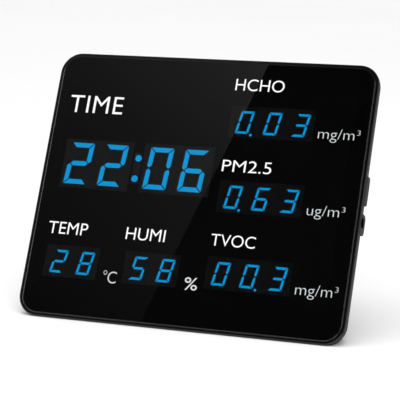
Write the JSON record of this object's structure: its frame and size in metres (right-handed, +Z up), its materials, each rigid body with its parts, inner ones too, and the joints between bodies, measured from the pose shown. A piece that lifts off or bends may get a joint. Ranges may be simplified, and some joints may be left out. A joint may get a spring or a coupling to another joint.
{
  "type": "air quality monitor",
  "caption": "Desk air quality monitor with a smoked front panel over blue seven-segment readouts, a trim frame, a domed rear cover, a folding rear kickstand, a side key and a side power socket.",
  "frame": {"origin": "on the desk, under the middle of the footprint that runs from the front edge of the case to the kickstand's foot, and midway across the width", "axes": "+X to the right seen from the front, +Y away from the viewer towards the kickstand, +Z up; the front panel faces -Y and leans back 26.7 degrees"},
  "size_m": [0.347, 0.1548, 0.2546],
  "materials": {
    "lens_acrylic": "gloss",
    "mask_ink": "satin",
    "adhesive_foam": "matte",
    "black_trim": "gloss",
    "black_shell": "fine satin",
    "dark_screw": "black oxide",
    "soft_rubber": "matte",
    "module_face": "matte",
    "blue_light": "lit",
    "unlit_segment": "satin",
    "solder": "bright",
    "board_green": "solder mask",
    "zinc_screw": "zinc",
    "chip_black": "moulded",
    "chip_part": "ceramic",
    "can_aluminium": "drawn",
    "ferrite": "matte",
    "holder_black": "moulded",
    "cell_steel": "nickel",
    "switch_steel": "pressed",
    "key_plastic": "fine satin",
    "pin_steel": "ground",
    "jack_black": "moulded",
    "contact_nickel": "nickel",
    "nut_nickel": "nickel",
    "wire_red": "insulation",
    "nylon_white": "nylon",
    "sensor_case": "moulded",
    "lid_steel": "tinned",
    "fan_black": "moulded",
    "wire_black": "insulation",
    "sensor_white": "moulded",
    "cap_grey": "moulded",
    "sensor_can": "drawn",
    "sensor_blue": "moulded",
    "rod_steel": "drawn",
    "washer_steel": "spring"
  },
  "bodies": {
    "case": {"front_lens": "lens_acrylic", "window_mask": "mask_ink", "lens_adhesive": "adhesive_foam", "front_frame": "black_trim", "rear_cover": "black_shell", "cover_screws": "dark_screw", "rubber_feet": "soft_rubber", "time_digits": "module_face", "colon_module": "module_face", "temp_digits": "module_face", "humidity_digits": "module_face", "hcho_digits": "module_face", "pm_digits": "module_face", "tvoc_digits": "module_face", "time_lit": "blue_light", "colon_lit": "blue_light", "temp_lit": "blue_light", "humidity_lit": "blue_light", "hcho_lit": "blue_light", "pm_lit": "blue_light", "tvoc_lit": "blue_light", "time_dark": "unlit_segment", "small_dark": "unlit_segment", "digit_joints": "solder", "main_board": "board_green", "board_screws": "zinc_screw", "driver_chips": "chip_black", "controller_chip": "chip_black", "chip_parts": "chip_part", "capacitors": "can_aluminium", "inductor": "ferrite", "cell_holder": "holder_black", "coin_cell": "cell_steel", "key_board": "board_green", "key_switches": "switch_steel", "key_pin": "pin_steel", "dc_jack": "jack_black", "jack_contact": "contact_nickel", "jack_nut": "nut_nickel", "jack_wires": "wire_red", "power_header": "nylon_white", "pm_case": "sensor_case", "pm_lid": "lid_steel", "pm_cable": "wire_black", "pm_header": "nylon_white", "hcho_sensor": "sensor_white", "hcho_cap": "cap_grey", "tvoc_sensor": "sensor_can", "climate_sensor": "sensor_blue", "stand_rod": "rod_steel", "stand_washers": "washer_steel"},
    "stand": {"kickstand": "black_shell", "stand_foot": "soft_rubber"},
    "key": {"rocker_key": "key_plastic"},
    "fan": {"pm_fan": "fan_black"},
    "upper_plunger": {"plunger_upper": "holder_black"},
    "lower_plunger": {"plunger_lower": "holder_black"}
  },
  "joints": [
    {"name": "stand_fold", "type": "hinge", "parent": "case", "child": "stand", "pos_m": [0, 0.02633, 0.15235], "axis": [1, 0, 0], "range_deg": [-44.62, 0]},
    {"name": "key_rock", "type": "hinge", "parent": "case", "child": "key", "pos_m": [0.165, -0.00123, 0.13762], "axis": [0, 0.8934, -0.4493], "range_deg": [-1.5, 1.5]},
    {"name": "fan_spin", "type": "hinge", "parent": "case", "child": "fan", "pos_m": [0.099, 0.01711, 0.14804], "axis": [0, 0.8934, -0.4493], "continuous": true},
    {"name": "upper_switch_travel", "type": "slide", "parent": "case", "child": "upper_plunger", "axis": [-1, 0, 0], "range_m": [-0.00025, 0.00025]},
    {"name": "lower_switch_travel", "type": "slide", "parent": "case", "child": "lower_plunger", "axis": [-1, 0, 0], "range_m": [-0.00025, 0.00025]}
  ],
  "couplings": [
    {"joint": "upper_switch_travel", "follows": "key_rock", "m_per_rad": -0.009},
    {"joint": "lower_switch_travel", "follows": "key_rock", "m_per_rad": 0.009}
  ]
}
